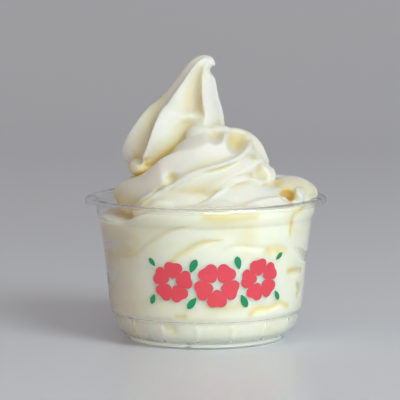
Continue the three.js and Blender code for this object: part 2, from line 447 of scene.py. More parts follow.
# For each leaf: the place of its stalk's end, its direction, length and width.
LEAVES = [
    (-10.4, 4.4, 66, 5.6, 2.7), (-8.4, -5.4, -128, 5.4, 2.6), (8.2, 5.4, 104, 5.2, 2.5),
    (9.2, -4.6, -62, 5.6, 2.7), (-25.4, -4.6, -112, 4.2, 2.1), (24.8, -4.2, -58, 4.4, 2.1),
    (-24.4, 6.4, 128, 3.8, 1.9), (24.2, 8.0, 40, 3.8, 1.9),
]
petals, leaves = [], []
for n, (u, v, size, turn) in enumerate(BLOSSOMS):
    for k in range(PETALS_EACH):
        way = turn + 360 / PETALS_EACH * k
        at = along_a_line((u, v), way, 0.15 * size)
        petals.append(petal(at, way, 0.85 * size, 1.1 * size, f"petal_{n}_{k}"))
for n, (u, v, turn, length, width) in enumerate(LEAVES):
    leaves.append(leaf((u, v), turn, length, width, f"leaf_{n}"))
for group, name in ((petals, "coral_blossoms"), (leaves, "green_leaves")):
    deselect_all()
    for each in group:
        each.select_set(True)
    bpy.context.view_layer.objects.active = group[0]
    bpy.ops.object.join()
    group[0].name = name
    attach(group[0], "root")


# ---- frozen yogurt -------------------------------------------------------------------------------
# One rope of soft-serve from a star nozzle with six points that never turns while the cup is moved
# round under it. Its ridges wind over the turns, and the last dollop is drawn up into a leaning peak.
# Below the lip the turns have run together against the wall, with a few folds left between them.
LOBES = 6
VALLEY = 0.72  # valley radius as a share of crest radius
FALL = 0.76  # share of each lobe taken by its gentle side
SQUASH = 0.88  # each turn settles under its own weight
# The coiled turns, from the bottom up: azimuth in degrees, coil radius, height, rope radius, centre x,
# centre y, azimuth of the first lobe.
COIL = [
    (-570, 26.0, 42.0, 12.0, 2.0, 0.0, 10), (-510, 26.5, 44.0, 12.2, 2.5, 0.0, 12),
    (-478, 27.5, 45.8, 12.4, 3.0, 0.0, 15), (-448, 28.0, 49.0, 12.6, 3.4, 0.0, 18),
    (-422, 28.6, 53.0, 12.2, 3.8, 0.0, 18), (-396, 30.0, 53.0, 10.8, 4.0, 0.0, 15),
    (-362, 31.0, 52.6, 12.0, 4.4, 0.0, 12), (-315, 30.0, 53.0, 12.0, 4.0, 0.0, 8),
    (-270, 28.0, 54.2, 12.0, 2.9, 0.0, 2), (-180, 25.5, 56.6, 12.2, 1.2, 0.3, -8),
    (-135, 21.6, 62.4, 13.6, 0.6, 1.0, 12), (-90, 17.4, 68.6, 15.0, 0.5, 0.2, 28),
    (-45, 16.4, 69.6, 13.2, 0.0, -1.0, 38), (0, 13.4, 69.4, 12.4, -0.6, -0.6, 33),
    (45, 12.7, 72.0, 12.8, -1.4, 0.4, 20),
]
# The last dollop, which goes on from the coil: x, y, z, rope radius, azimuth of the first lobe.
PEAK = [
    (-3.5, 13.2, 73.5, 13.3, 12), (-14.4, 10.0, 73.2, 16.0, 8), (-16.2, 1.6, 74.0, 17.0, 7),
    (-12.6, -3.0, 79.0, 16.8, 4), (-8.6, -2.2, 85.0, 15.7, 0), (-6.0, -1.3, 90.0, 13.7, -4),
    (-3.9, -0.9, 98.0, 9.7, -11), (-2.1, -0.2, 105.0, 6.3, -10), (-0.2, 0.2, 108.6, 3.9, -6),
    (2.0, 0.2, 109.3, 2.75, -2), (3.5, 0.1, 108.6, 2.1, -2), (4.1, 0.0, 107.7, 0.4, -2),
]


def along(table, t):
    """The smooth curve through the rows of a table whose first column is the parameter."""
    table = np.asarray(table, float)
    t = np.atleast_1d(t)
    x = table[:, 0]
    rows = np.arange(len(x))
    before, after = np.maximum(rows - 1, 0), np.minimum(rows + 1, len(x) - 1)
    slope = (table[after] - table[before]) / (x[after] - x[before])[:, None]
    i = np.clip(np.searchsorted(x, t, side="right") - 1, 0, len(x) - 2)
    h = (x[i + 1] - x[i])[:, None]
    u = np.clip((t - x[i])[:, None] / h, 0, 1)
    value = (2 * u**3 - 3 * u**2 + 1) * table[i] + (u**3 - 2 * u**2 + u) * h * slope[i]
    value += (3 * u**2 - 2 * u**3) * table[i + 1] + (u**3 - u**2) * h * slope[i + 1]
    return value[:, 1:]


# Where single ridges leave their even places. For each ridge: distance along the rope in
# millimetres, turn in degrees, and reach as a share of the rope's radius.
RIDGES = {
    0: [
        (205, 0, 1), (222, 0, 1.1), (236, 0, 1.12), (248, -6, 1.14), (257, -6, 1.17), (266, 0, 1),
        (298, 0, 0.86), (308, 0, 0.92), (313, 0, 1.02), (318, 0, 1.1), (323, 0, 1.05), (330, 0, 0.99),
        (335, 0, 1.06), (338, 0, 1.16), (341, 0, 1.05), (346, 0, 1),
    ],
    2: [
        (180, 0, 1), (196, 0, 0.82), (206, 0, 0.76), (214, 0, 0.82), (222, 0, 1.02), (232, 0, 1.12),
        (238, 0, 1.28), (246, 0, 1.1), (252, 0, 1), (346, 0, 1),
    ],
    3: [
        (40, 12, 1), (52, 13, 1), (60, 3, 1.02), (66, -4, 1.08), (74, 0, 1.06), (82, 0, 1), (194, 0, 1),
        (200, 0, 0.95), (206, 0, 0.84), (211, 0, 0.78), (216, 0, 0.88), (221, 4, 1.02), (226, 12, 1.02),
        (230, 20, 0.99), (234, 16, 1.02), (240, 6, 1.06), (248, 0, 1), (262, 0, 1), (346, 0, 1),
    ],
    4: [
        (56, 0, 1), (66, 0, 0.84), (78, 4, 0.8), (83, 16, 0.86), (87, 30, 1), (91, 24, 1), (98, -4, 1),
        (104, -14, 1), (112, 0, 1), (190, 7, 1), (205, 8, 1), (214, 6, 1), (220, 2, 1), (236, 2, 1),
        (241, 0, 1), (245, -9, 1), (249, -5, 1), (255, -4, 1.08), (262, 0, 1.06), (270, 0, 1), (298, 0, 1),
        (306, -7, 1), (312, -12, 1), (320, -10, 1), (326, -7, 1), (332, -1, 1), (337, 4, 1), (343, 0, 1),
        (346, 0, 1),
    ],
    5: [
        (95, 0, 1), (104, -6, 0.96), (125, 0, 0.96), (140, 0, 1), (192, 0, 1), (204, 0, 1.12),
        (214, 0, 1.18), (224, -6, 1.1), (232, -22, 1.03), (240, -34, 0.97), (244, -26, 0.92),
        (247, -18, 0.89), (250, -8, 0.9), (255, -4, 0.88), (264, 0, 0.88), (272, 0, 1), (298, 0, 0.86),
        (308, -3, 0.86), (315, 0, 0.97), (318, 2, 1), (322, 0, 1), (328, -5, 1), (334, -9, 1),
        (340, -13, 1), (346, -8, 1),
    ],
}
# How deep the flute after a ridge is, as a share of its full depth: distance along the rope, share.
FLUTES = {
    2: [
        (190, 1), (204, 1.3), (220, 1.1), (226, 0.4), (230, 0.1), (246, 0.1), (256, 0.6), (266, 1), (346, 1),
    ],
    3: [
        (180, 1), (194, 0.5), (218.4, 0.6), (221, 0.95), (228, 1.05), (236, 1), (242, 0.7), (250, 0.4),
        (260, 1), (346, 1),
    ],
    4: [
        (80, 1), (92, 0.6), (108, 0.7), (120, 1), (192, 0.8), (206, 0.35), (236, 0.45), (244, 0.6),
        (262, 0.6), (280, 1), (290, 1), (300, 1.4), (311, 1.4), (319, 1.25), (332, 1.4), (340, 1.2),
        (346, 1),
    ],
    5: [
        (190, 1), (200, 0.3), (239, 0.2), (243, 0.8), (247, 1.5), (256, 1.4), (264, 1), (296, 1), (308, 0.4),
        (346, 0.4),
    ],
}
# Dents (less than 0) and bumps: distance along the rope, ridge number with the share of the way to
# the next, half-length in millimetres, half-width as a share of a lobe, change of radius.
DENTS = [(221.5, 3.74, 1.4, 0.12, -0.08), (85.0, 3.9, 1.7, 0.32, -0.42), (88.8, 4.2, 1.0, 0.4, 0.15)]
# Soft lumps that fill the gaps between two turns: x, y, z of the middle, and the three half-axes.
LUMPS = [
    (33.0, -5.0, 58.2, 9.5, 11.0, 6.2), (4.5, -31.0, 55.5, 8.0, 6.0, 3.0),
    (-9.0, -23.0, 52.5, 19.0, 12.5, 10.0), (3.0, -24.0, 59.5, 5.0, 6.0, 3.5),
    (-24.6, -3.0, 68.0, 5.8, 10.5, 4.0), (-2.2, -14.0, 81.3, 5.5, 5.5, 4.0),
    (10.0, -8.0, 70.5, 14.0, 9.0, 13.2), (20.5, -11.0, 64.0, 6.8, 9.0, 6.2),
    (18.0, -19.5, 64.2, 5.0, 5.0, 3.0), (4.5, -11.5, 81.6, 6.5, 5.0, 3.6),
]
# Where two turns have begun to melt into one another round the sides: x, y, z and reach.
MELTED = [
    (17.0, 3.0, 72.0, 8.0), (21.0, -1.0, 62.0, 6.5), (26.0, 6.0, 60.0, 7.0), (8.0, 6.0, 82.0, 6.0),
    (-25.5, 4.0, 66.0, 6.0),
]
FRONT, RIGHT = -90, 0
# Hollows pressed into the front of the fused turns. For each: its place across and its height on the
# upright plane through the axis, its half-width, its half-height, its depth, how far it leans, in
# degrees, and how yellow it is: painted shade in the hollow.
SCOOPS = [
    (3.8, 82.0, 4.4, 6.0, 1.8, 0, 0.03), (12.7, 79.6, 4.7, 7.4, 2.8, -14, 0.07),
    (23.0, 65.4, 3.9, 4.6, 1.4, -10, 0.0), (32.0, 56.6, 3.1, 3.6, 3.8, 32, 0.4),
]
# Folds and creases drawn on the fused turns, above the lip and through the wall, as they are seen from
# the front or the right. For each: how yellow it is, and its points, each with its place across and its
# height on the upright plane through the axis, its half-width, and how far it stands out, or how deep
# it is where that is less than 0. The yellow is painted shade in the folds, creases and seams, and it
# also paints the yellow patches against the wall; where it is less than 0 it paints the place whiter,
# taking painted shade away.
FRONT_STROKES = [
    # The bump in the hollow of the peak, and the creases round it.
    (0, [(-10.8, 86.3, 1.2, 0), (-8.1, 87.1, 1.5, 1), (-5.7, 87.7, 1.6, 1.4), (-3.4, 87.5, 1.3, 0.7)]),
    (0.1, [(-11.2, 84.2, 1.8, 0), (-8.5, 84.8, 2.2, -0.2), (-5.7, 85.2, 2.2, -0.2), (-3.4, 85.4, 1.6, 0)]),
    (0.25, [
        (-1.8, 102.8, 1.2, 0), (-3, 97.2, 1.6, -0.8), (-3.2, 92.5, 2, -1.3), (-2.2, 88.5, 1.8, -1.1),
        (-1.8, 85.8, 1.2, 0),
    ]),
    (0.22, [
        (-3, 105.9, 2.2, -0.5), (-4.2, 101.2, 3.4, -1), (-5.3, 95.6, 4, -1.6), (-6.1, 91.3, 3.6, -1.2),
        (-6.9, 88.9, 2.6, -0.4),
    ]),
    # The curl at the left of the peak.
    (0, [
        (-22.2, 72.7, 1, 0), (-24.6, 71.5, 1.2, 0.5), (-27, 70.5, 1.2, 0.6), (-28.9, 69.1, 1.1, 0.5),
        (-29.9, 67.2, 1, 0),
    ]),
    (0.1, [(-21.5, 71.1, 0.7, 0), (-23.4, 70.1, 0.8, -0.6), (-25.4, 69.5, 0.8, -0.6), (-27, 69.5, 0.7, 0)]),
    (0.5, [(-30.1, 64, 1.4, 0), (-27.7, 63.6, 1.4, 0), (-25.4, 64.4, 1.2, 0)]),
    (0.4, [(-30.3, 67.5, 2.2, 0), (-28.1, 67, 2.8, 0), (-25.8, 67.4, 2.4, 0), (-23.8, 68.7, 1.6, 0)]),
    # The round end of the first turn, and its lower edge.
    (0.1, [
        (-13.8, 66.4, 1.2, 0), (-13.3, 64.6, 2.3, -0.5), (-13.4, 62.8, 2.3, -0.8), (-14.3, 61, 1.6, -0.7),
        (-15.6, 59.6, 0.9, 0),
    ]),
    (0, [(-19.1, 66, 1.8, 0), (-16.9, 64.8, 2.6, 0.3), (-16.9, 62.8, 2.6, 0.3), (-18.7, 60.8, 1.8, 0)]),
    (-0.16, [
        (-21.1, 65.6, 4, 0), (-16, 69.1, 5, 0), (-9.3, 72.7, 6, 0), (-2.2, 75.5, 6, 0), (3.7, 77, 4, 0),
    ]),
    (-0.22, [(-21.5, 69.5, 2, 0), (-18.3, 72.7, 2.6, 0), (-14.8, 75.9, 2.6, 0), (-11.2, 79.4, 2.2, 0)]),
    (0.25, [
        (-28.1, 52.9, 0.6, 0), (-25.8, 54.1, 0.8, -1.2), (-22.1, 56.1, 0.8, -1.7), (-18.6, 58.6, 0.8, -1.7),
        (-15.2, 60.8, 0.8, -1.5), (-13.2, 61.8, 0.7, -0.8), (-11.6, 62.4, 0.5, 0),
    ]),
    (0.16, [(-17.9, 54.5, 3, 0), (-8.1, 57.7, 4, 0), (-0.2, 60, 4, 0), (7.6, 63.2, 3, 0)]),
    (0.4, [
        (-15.6, 97.2, 2.4, 0), (-18.7, 91.7, 3.6, -0.3), (-22.2, 84.6, 4, -0.6), (-25, 77.4, 4, -0.7),
        (-27, 73.1, 3, -0.3),
    ]),
    (0.5, [(-36.8, 56.1, 3, 0), (-32.9, 53.7, 4, 0), (-26.6, 52.9, 3.4, 0), (-21.9, 54.5, 2.4, 0)]),
    (0, [(-22.6, 52.1, 1.2, 0), (-19.5, 53.1, 1.6, 1.2), (-16, 53.1, 1.6, 1.2), (-12, 52.1, 1.2, 0)]),
    (0, [
        (-26.6, 52.1, 0.7, 0), (-24.2, 53.5, 0.8, 0.8), (-21.1, 55.4, 0.8, 0.9), (-17.9, 57.7, 0.8, 0.9),
        (-14.8, 59.7, 0.8, 0.8), (-12.8, 60.8, 0.6, 0.3),
    ]),
    # The long crest of the second turn, and the shadow under it.
    (-0.1, [
        (-13.2, 60.8, 0.6, 0), (-10.1, 62.6, 0.7, 0.5), (-6.9, 64.1, 0.8, 0.8), (-2.6, 66, 0.8, 0.9),
        (3.7, 67.5, 0.8, 0.9), (9.6, 69.5, 0.8, 0.9), (13.9, 71.9, 0.8, 0.9), (16.9, 75.1, 0.8, 0.9),
        (17.4, 77.8, 0.7, 0.3),
    ]),
    (-0.1, [
        (-15.6, 57.7, 0.5, 0), (-11.8, 60.2, 0.7, -1.1), (-6.9, 62.7, 0.7, -1.6), (-2.6, 64.5, 0.7, -1.7),
        (3.7, 66, 0.7, -1.7), (10, 68, 0.7, -1.5), (13.5, 69.8, 0.5, 0),
    ]),
    # The right shoulder.
    (0.26, [(17.8, 79.4, 2, 0), (19.4, 76.7, 2.8, -0.6), (21, 73.9, 2.8, -0.7)]),
    (0.1, [
        (14.7, 71.5, 1, 0), (17.4, 71.4, 1.2, -1.1), (20.2, 71.3, 1.3, -1.4), (22.6, 71.2, 1.2, -1.4),
        (24.5, 71.1, 1, -0.9),
    ]),
    (0, [(14.7, 69.1, 2, 0), (18.2, 69.5, 2.2, 1), (22.2, 69.5, 2.2, 1.2), (24.1, 69.5, 2, 0.9)]),
    (0, [(24.5, 68.3, 0.8, 0), (26.1, 66.8, 0.8, 0.7), (26.9, 64, 0.8, 0.7), (26.1, 61.2, 0.8, 0)]),
    # The turn under it, with the pit and the spike beside it.
    (-0.35, [
        (0.2, 55.1, 1, 0), (2.9, 56.7, 1, -0.3), (6.1, 59, 0.8, -0.8), (10.8, 62.4, 0.9, -1.2),
        (15.9, 64, 0.8, -1.2), (20.2, 63.8, 0.8, -1), (23.7, 63.2, 0.6, 0),
    ]),
    (0, [
        (1.7, 54.5, 0.7, 0.4), (6.4, 58.1, 0.8, 0.9), (11.3, 61.3, 0.8, 1), (15.9, 62.5, 0.8, 1),
        (20.2, 62.3, 0.8, 1), (24.5, 61.6, 0.7, 0.6),
    ]),
    (0, [
        (36.2, 59.2, 0.5, 0), (36.4, 58.1, 0.9, 2), (36.8, 56.1, 1.2, 2.6), (37.3, 53.7, 1.5, 2.2),
        (37.9, 51.7, 1.5, 0.8),
    ]),
    (0.42, [
        (30.4, 61.2, 2.2, 0), (33.6, 61.4, 3.2, 0), (37.5, 60, 4, 0), (41, 58.1, 4, 0), (42.6, 54.9, 3, 0),
    ]),
    (-0.35, [
        (26.5, 63.1, 0.7, 0), (33.2, 63.6, 0.9, 0), (37.9, 62.3, 0.9, 0), (42.6, 60, 0.9, 0),
        (44.8, 57.3, 0.8, 0),
    ]),
    (0.45, [(32, 54.9, 1, 0), (33.6, 53.5, 1, 0)]),
    # Seams between the turns that show through the wall.
    (0.6, [
        (-32.9, 31.5, 0.8, -0.3), (-29.7, 32.1, 0.9, -0.7), (-27.4, 33.7, 0.9, -0.9),
        (-22.8, 37.2, 0.9, -1), (-19.1, 39.7, 0.9, -1), (-15.6, 41.8, 0.9, -0.8), (-10.8, 43.4, 0.6, -0.4),
        (-5.3, 44.4, 0.2, 0),
    ]),
    (0.85, [
        (-15.6, 28.4, 0.7, -0.2), (-11, 32.3, 1.1, -0.8), (-7.1, 34.5, 1.1, -1), (-2.7, 36.9, 1, -1),
        (2.1, 38.1, 0.6, -0.6), (7.2, 38.6, 0.15, 0),
    ]),
    (0.25, [(7.6, 35.5, 0.8, 0), (14.3, 35.7, 0.9, -0.5), (19.8, 35.2, 0.9, -0.5), (24.5, 35.7, 0.8, 0)]),
    (0.8, [(37.9, 51.3, 1.2, -0.4), (34.7, 48.2, 1.2, -0.6), (33.6, 45.4, 1, -0.4), (33, 41.8, 0.8, 0)]),
    (0.9, [(32.2, 26.4, 1.1, 0), (34.7, 26, 1.4, -0.8), (37.1, 26.6, 1.1, -0.4)]),
    (0.9, [(35.5, 21.3, 1, 0), (36.5, 19.3, 1.3, -0.8), (35.5, 16.9, 1, 0)]),
    (0.75, [
        (17.4, 9, 1.1, 0), (19.8, 11, 1.3, -0.4), (25.3, 11.4, 1.3, -0.5), (28.8, 13.3, 1.2, -0.5),
        (32, 12.3, 1, 0),
    ]),
    # Yellow patches and small voids against the wall.
    (0.6, [(24.1, 34.7, 1.6, 0), (27.3, 34.3, 2.4, -0.4), (30.4, 34.3, 1.8, -0.3)]),
    (0.5, [(-0.2, 47.8, 1.6, 0), (5.7, 47.4, 1.9, 0), (13.5, 47.2, 1.9, 0), (19.8, 47.8, 1.4, 0)]),
    (0.45, [(0.2, 12.9, 2, 0), (6.4, 12.2, 2.6, 0), (12.7, 12.5, 2, 0)]),
    (0.3, [(16.3, 43, 4, 0), (16.3, 37.9, 4, 0)]),
    (0.5, [(-37.6, 33.9, 2.2, 0), (-32.9, 33.3, 3.2, -0.3), (-28.1, 33.9, 2.4, 0)]),
    (0.16, [(-36.8, 43.4, 5, 0), (-33.6, 39.5, 7, 0), (-25.8, 39.5, 6, 0), (-17.9, 42.6, 4, 0)]),
    (0.12, [(-31.7, 14.9, 5, 0), (-21.9, 13.3, 6, 0), (-10.1, 12.5, 5, 0)]),
    (0.7, [(-11.6, 8.2, 0.9, -0.2), (-8.5, 8.2, 0.9, -0.2)]),
    (0.5, [(-15.2, 3.1, 1.2, -0.4), (-12.8, 2.7, 1.6, -0.8), (-13.2, 1.1, 0.9, -0.4)]),
    (0.2, [(-22.6, 0.3, 0.7, -1.5), (-22, -0.9, 0.7, -1.5)]),
    (0.2, [(-7.1, -2.9, 0.7, -1.5), (-7.3, -4.1, 0.7, -1.5)]),
    (0.2, [(-29.9, 7.6, 0.6, -1), (-28.9, 7.4, 0.6, -1)]),
]
RIGHT_STROKES = [
    # Flutes that carry on round the right side.
    (0.05, [
        (-4, 66.8, 1.2, 0), (-1, 67.8, 1.7, -1), (3, 69.4, 1.7, -1.4), (7, 71.4, 1.4, -0.8),
        (10, 73, 1.2, 0),
    ]),
]


KNOT_EVERY = 15.0  # degrees of the coil between two knots of the rope's path
HEADING_SPAN = 6  # millimetres before and after a section that give its heading
CREST_FALL, CREST_RISE = 1.7, 1.35  # how sharply a flute leaves one crest and climbs to the next


def rope_sections(steps, around):
    """Points of the rope: steps sections of around points each, in millimetres."""
    degrees = np.arange(COIL[0][0], COIL[-1][0] + 1, KNOT_EVERY)
    radius, z, size, cx, cy, lobe = along(COIL, degrees).T
    a = np.radians(degrees)
    knots = np.stack([cx + radius * np.cos(a), cy + radius * np.sin(a), z, size, lobe], 1)
    knots = np.vstack([knots, np.array(PEAK, float)])
    run = np.concatenate([[0], np.cumsum(np.linalg.norm(np.diff(knots[:, :3], axis=0), axis=1))])
    rope = np.hstack([run[:, None], knots])
    s = np.linspace(0, run[-1], steps)
    centre = along(rope, s)
    ahead = along(rope, np.minimum(s + HEADING_SPAN, run[-1]))[:, :3]
    heading = ahead - along(rope, np.maximum(s - HEADING_SPAN, 0))[:, :3]
    heading /= np.linalg.norm(heading, axis=1)[:, None]
    # the nozzle never turns, so the section's two axes are +X and +Y tipped over to the heading
    sides = []
    hinge = np.cross(np.array([0, 0, 1.0]), heading)
    for axis in (np.array([1.0, 0, 0]), np.array([0, 1.0, 0])):
        swing = np.cross(hinge, axis)
        sides.append(axis + swing + np.cross(hinge, swing) / (1 + heading[:, 2])[:, None])
    place = np.arange(around) * LOBES / around
    ridge, u = np.divmod(place, 1.0)
    ridge = ridge.astype(int)
    turn, reach = np.zeros((steps, LOBES + 1)), np.ones((steps, LOBES + 1))
    for which, rows in RIDGES.items():
        turn[:, which], reach[:, which] = along(rows, s).T
    turn[:, LOBES], reach[:, LOBES] = turn[:, 0], reach[:, 0]
    fall = 1 - (1 - np.clip(u / FALL, 0, 1)) ** CREST_FALL
    rise = (np.clip(u - FALL, 0, 1) / (1 - FALL)) ** CREST_RISE
    hollow = np.where(u < FALL, fall, 1 - rise)
    depth = np.full((steps, LOBES), 1 - VALLEY)
    for which, rows in FLUTES.items():
        depth[:, which] *= along(rows, s)[:, 0]
    share = 1 - depth[:, ridge] * hollow
    share = share * (reach[:, ridge] * (1 - u) + reach[:, ridge + 1] * u)
    for at, where, half_length, half_width, change in DENTS:
        across = (place - where + LOBES / 2) % LOBES - LOBES / 2
        bump = np.exp(-(((s - at) / half_length) ** 2)[:, None] - ((across / half_width) ** 2)[None, :])
        share = share * (1 + change * bump)
    a = centre[:, 4][:, None] + 360 / LOBES * place[None, :]
    a = np.radians(a + turn[:, ridge] * (1 - u) + turn[:, ridge + 1] * u)
    offset = np.cos(a)[..., None] * sides[0][:, None] + np.sin(a)[..., None] * sides[1][:, None]
    offset *= (centre[:, 3][:, None] * share)[..., None]
    offset[..., 2] *= SQUASH
    return centre[:, None, :3] + offset


# Inner side of the cup's wall: height, radius.
INSIDE = [
    (0.5, 30.05), (1.9, 30.2), (2.6, 30.9), (3.2, 31.9), (4.1, 33.2), (5.4, 34.25), (6.9, 34.9),
    (8.5, 35.4), (10.3, 35.7), (11.2, 36.05), (11.9, 36.75), (13.3, 37.3), (16.8, 37.7), (30.6, 38.9),
    (46.5, 41.1), (48.1, 41.2), (48.9, 41.75), (51.2, 42.4), (55.4, 42.55), (56.2, 42.8),
]
INTO_WALL = 0.15  # how far the filling reaches into the wall, so that no air shows between them


def inside_radius(z):
    heights, radii = np.array(INSIDE).T
    return np.interp(z, heights, radii)


FOLD_STEPS = 60
DEGREE = 0.66  # length of one degree round the wall
# Folds round the sides and the back: azimuth and height of their points, then depth and half-width.
FOLDS = [
    ([(-32, 38.0), (-10, 33.0), (15, 35.0), (30, 40.0)], 0.9, 1.5),
    ([(20, 44.0), (60, 38.0), (100, 41.0), (140, 45.0)], 1.3, 1.6),
    ([(10, 28.0), (50, 22.0), (90, 27.0), (130, 33.0), (170, 36.0)], 1.3, 1.6),
    ([(60, 13.0), (110, 15.0), (150, 20.0), (190, 18.0)], 1.1, 1.4),
    ([(152, 41.0), (175, 37.0), (200, 38.0), (222, 43.0)], 0.5, 1.8),
    ([(165, 29.0), (185, 25.0), (200, 25.5), (212, 29.0)], 0.5, 1.8),
]


def fold_depth(azimuth, z):
    """How far the filling stands back from the wall, in millimetres."""
    depth = np.zeros_like(azimuth)
    for points, deep, half in FOLDS:
        s = np.linspace(0, len(points) - 1, FOLD_STEPS)
        line = along(np.column_stack([np.arange(len(points)), points]), s)
        nearest = np.full(azimuth.shape, 1e9)
        where = np.zeros(azimuth.shape)
        for share, (at, height) in zip(s / s[-1], line):
            across = (azimuth - at + 180) % 360 - 180
            d = (across * DEGREE) ** 2 + (z - height) ** 2
            closer = d < nearest
            nearest = np.where(closer, d, nearest)
            where = np.where(closer, share, where)
        taper = np.clip(np.sin(np.pi * np.clip(where, 0.04, 0.96)) * 2.2, 0, 1)
        depth = np.maximum(depth, deep * taper * np.exp(-nearest / half**2))
    return depth


def mesh_from_rings(name, rings):
    """A closed skin over rings of points, capped at both ends."""
    rows, cols = rings.shape[:2]
    deselect_all()
    bpy.ops.mesh.primitive_grid_add(x_subdivisions=cols, y_subdivisions=rows - 1, size=1.0)
    piece = bpy.context.active_object
    piece.name = name
    mesh = piece.data
    grid = rings[:, np.arange(cols + 1) % cols]
    mesh.vertices.foreach_set("co", (grid * MM).astype(np.float32).ravel())
    bpy.ops.object.mode_set(mode="EDIT")
    bpy.ops.mesh.select_all(action="SELECT")
    bpy.ops.mesh.remove_doubles(threshold=1e-7)
    bpy.ops.mesh.select_all(action="DESELECT")
    bpy.ops.mesh.select_mode(type="EDGE")
    bpy.ops.mesh.select_non_manifold(extend=False)
    bpy.ops.mesh.edge_face_add()
    bpy.ops.mesh.select_all(action="SELECT")
    bpy.ops.mesh.normals_make_consistent(inside=False)
    bpy.ops.object.mode_set(mode="OBJECT")
    return piece


ROPE_STEPS, ROPE_AROUND = 760, 240
rope = mesh_from_rings("rope", rope_sections(ROPE_STEPS, ROPE_AROUND))
azimuths = np.linspace(-180, 180, 360, endpoint=False)
# Azimuth, and the height that the filling reaches on the wall: it stands lower on the left.
BRIM = [
    (-180, 48.2), (-152, 48.2), (-138, 49.0), (-124, 52.5), (-108, 54.6), (-80, 55.0), (-50, 54.6),
    (-20, 54.0), (20, 54.0), (70, 53.0), (120, 51.5), (150, 49.5), (180, 48.2),
]
# Radius and height of the filling's underside, which lies on the raised floor and fills the ring.
UNDERSIDE = [(0.5, 2.2), (27.7, 2.2), (28.9, 0.6), (30.05, 0.55), (30.25, 1.9)]
WALL_FROM = 2.55
# How the top of the filling rises inwards from the brim under the turns: distance in, rise.
HEAP = [
    (0.6, 0.45), (1.8, 0.9), (5.0, 1.2), (10.0, 1.0), (18.0, 2.0), (28.0, 8.0), (36.0, 16.0), (41.0, 18.0),
]
brim = along(BRIM, azimuths)[:, 0]


def filling_ring(radius, height):
    radius, height = radius + 0 * azimuths, height + 0 * azimuths
    a = np.radians(azimuths)
    return np.stack([radius * np.cos(a), radius * np.sin(a), height], 1)


rings = [filling_ring(radius, height) for radius, height in UNDERSIDE]
for share in np.concatenate([[0.0, 0.012, 0.03], np.arange(0.045, 1.0001, 0.01)]):
    z = WALL_FROM + (brim - WALL_FROM) * share
    rings.append(filling_ring(inside_radius(z) + INTO_WALL - fold_depth(azimuths, z), z))
for inward, rise in HEAP:
    rings.append(filling_ring(inside_radius(brim) - inward, brim + rise))
filling = mesh_from_rings("filling", np.array(rings))
lumps = []
for x, y, z, *half_axes in LUMPS:
    deselect_all()
    middle = Vector((x, y, z)) * MM
    bpy.ops.mesh.primitive_ico_sphere_add(subdivisions=5, radius=MM, location=middle, scale=half_axes)
    lumps.append(bpy.context.active_object)
deselect_all()
for each in (rope, filling, *lumps):
    each.select_set(True)
bpy.context.view_layer.objects.active = rope
bpy.ops.object.join()
yogurt = bpy.context.active_object
yogurt.name = "frozen_yogurt_swirl"
VOXEL = 0.00045


def run_together(soften_steps):
    """Makes one even skin of what overlaps, and softens its edges."""
    fuse = yogurt.modifiers.new("fuse", "REMESH")
    fuse.mode = "VOXEL"
    fuse.voxel_size = VOXEL
    fuse.use_smooth_shade = True
    bpy.ops.object.modifier_apply(modifier="fuse")
    soften = yogurt.modifiers.new("soften", "SMOOTH")
    soften.factor = 0.5
    soften.iterations = soften_steps
    bpy.ops.object.modifier_apply(modifier="soften")


def read_points(kind):
    """The places ("co") or the normals ("normal") of all vertices, one row each."""
    values = np.empty(len(yogurt.data.vertices) * 3, np.float32)
    yogurt.data.vertices.foreach_get(kind, values)
    return values.reshape(-1, 3).astype(float)


def move_points(co):
    yogurt.data.vertices.foreach_set("co", (co * MM).astype(np.float32).ravel())
    yogurt.data.update()


run_together(2)
co = read_points("co") / MM
melted = yogurt.vertex_groups.new(name="melted")
for x, y, z, reach in MELTED:
    weight = np.exp(-((co - (x, y, z)) ** 2).sum(1) / reach**2)
    for v in (weight > 0.05).nonzero()[0]:
        melted.add([int(v)], float(weight[v]), "ADD")
melt = yogurt.modifiers.new("melt", "SMOOTH")
melt.factor = 0.8
melt.iterations = 60
melt.vertex_group = "melted"
bpy.ops.object.modifier_apply(modifier="melt")
yogurt.vertex_groups.clear()
co = read_points("co") / MM
normals = read_points("normal")
LIP_TOP = 56.4
LIP_INSIDE = 42.8
OVER_LIP_RISE, OVER_LIP_REACH = 0.9, 8  # within this rise over the lip, turns may spread this far
FILLING_FLOOR = 0.5


def pressed_in(co):
    """Turns that reach the wall are pressed flat against it, and nothing sinks into the lip."""
    r = np.hypot(co[:, 0], co[:, 1])
    azimuth = np.degrees(np.arctan2(co[:, 1], co[:, 0]))
    limit = inside_radius(co[:, 2]) + INTO_WALL - fold_depth(azimuth, co[:, 2])
    over_lip = np.clip((co[:, 2] - LIP_TOP) / OVER_LIP_RISE, 0, 1)
    limit = np.where(co[:, 2] > LIP_TOP, LIP_INSIDE + OVER_LIP_REACH * over_lip, limit)
    co[:, :2] *= np.minimum(1.0, limit / np.maximum(r, 1e-6))[:, None]
    co[:, 2] = np.maximum(co[:, 2], FILLING_FLOOR)
    return co


RIB_DEGREES = 1.3  # half-width of the swell behind a rib
RIB_ENDS = 1.2  # height over which it rises and falls
RIB_FILLED = 0.9  # share of the rib's relief that it fills


def into_ribs(co):
    """The filling follows the ribs of the foot, so that no gap shows behind them."""
    r = np.hypot(co[:, 0], co[:, 1])
    off = off_rib(np.degrees(np.arctan2(co[:, 1], co[:, 0])))
    from_ends = np.minimum(co[:, 2] - RIB_FROM, RIB_TO - co[:, 2])
    swell = np.exp(-((off / RIB_DEGREES) ** 2)) * np.clip(from_ends / RIB_ENDS, 0, 1)
    swell = np.where(r > inside_radius(co[:, 2]) - RIB_RELIEF, swell, 0)
    co[:, :2] *= (1 + RIB_FILLED * RIB_RELIEF * swell / np.maximum(r, 1e-6))[:, None]
    return co


co = pressed_in(co)
move_points(co)
surface_tree = BVHTree.FromObject(yogurt, bpy.context.evaluated_depsgraph_get())


